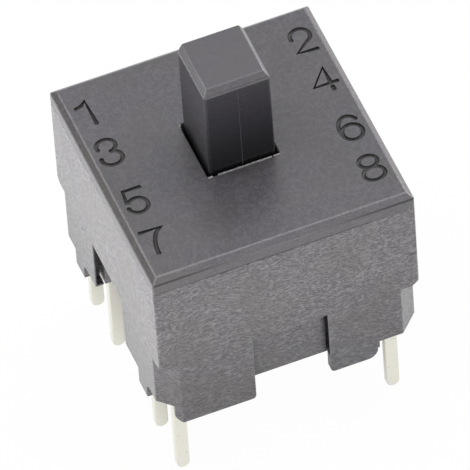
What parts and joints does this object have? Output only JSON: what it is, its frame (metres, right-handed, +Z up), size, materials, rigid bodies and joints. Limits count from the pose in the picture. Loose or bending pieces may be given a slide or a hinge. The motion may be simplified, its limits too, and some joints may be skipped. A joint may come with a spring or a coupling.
{
  "type": "pushbutton switch",
  "caption": "Square circuit-board pushbutton switch: grey moulded body, tall square push stem that springs back, flat tinned pins below, numbered terminals on the top face.",
  "frame": {"origin": "middle of the pin grid on the board's face, where the feet of the body stand", "axes": "+Z up along the button's travel, +X to the right along the front face, +Y from front to back"},
  "size_m": [0.0122, 0.0122, 0.0192],
  "materials": {
    "body_plastic": "glass-filled moulded plastic, fine fibre streaks, satin",
    "stem_plastic": "smooth moulded plastic, satin",
    "sealing_resin": "poured resin, glossy",
    "tinned_brass": "bright tin plating",
    "contact_bronze": "rolled strip",
    "spring_steel": "drawn wire"
  },
  "bodies": {
    "switch_body": {"housing": "body_plastic", "cover": "body_plastic", "base": "body_plastic", "pin_seals": "sealing_resin", "return_spring": "spring_steel", "terminal_1": "tinned_brass", "terminal_2": "tinned_brass", "terminal_3": "tinned_brass", "terminal_4": "tinned_brass", "terminal_5": "tinned_brass", "terminal_6": "tinned_brass", "terminal_7": "tinned_brass", "terminal_8": "tinned_brass"},
    "button": {"plunger": "stem_plastic", "bridge_retainer": "stem_plastic", "bridge_1_2": "contact_bronze", "bridge_3_4": "contact_bronze", "bridge_5_6": "contact_bronze", "bridge_7_8": "contact_bronze"}
  },
  "joints": [
    {"name": "button_press", "type": "slide", "parent": "switch_body", "child": "button", "axis": [0, 0, -1], "range_m": [0, 0.0026], "stiffness_N_per_m": 500, "springref_m": -0.001, "deforming": ["return_spring"]}
  ]
}
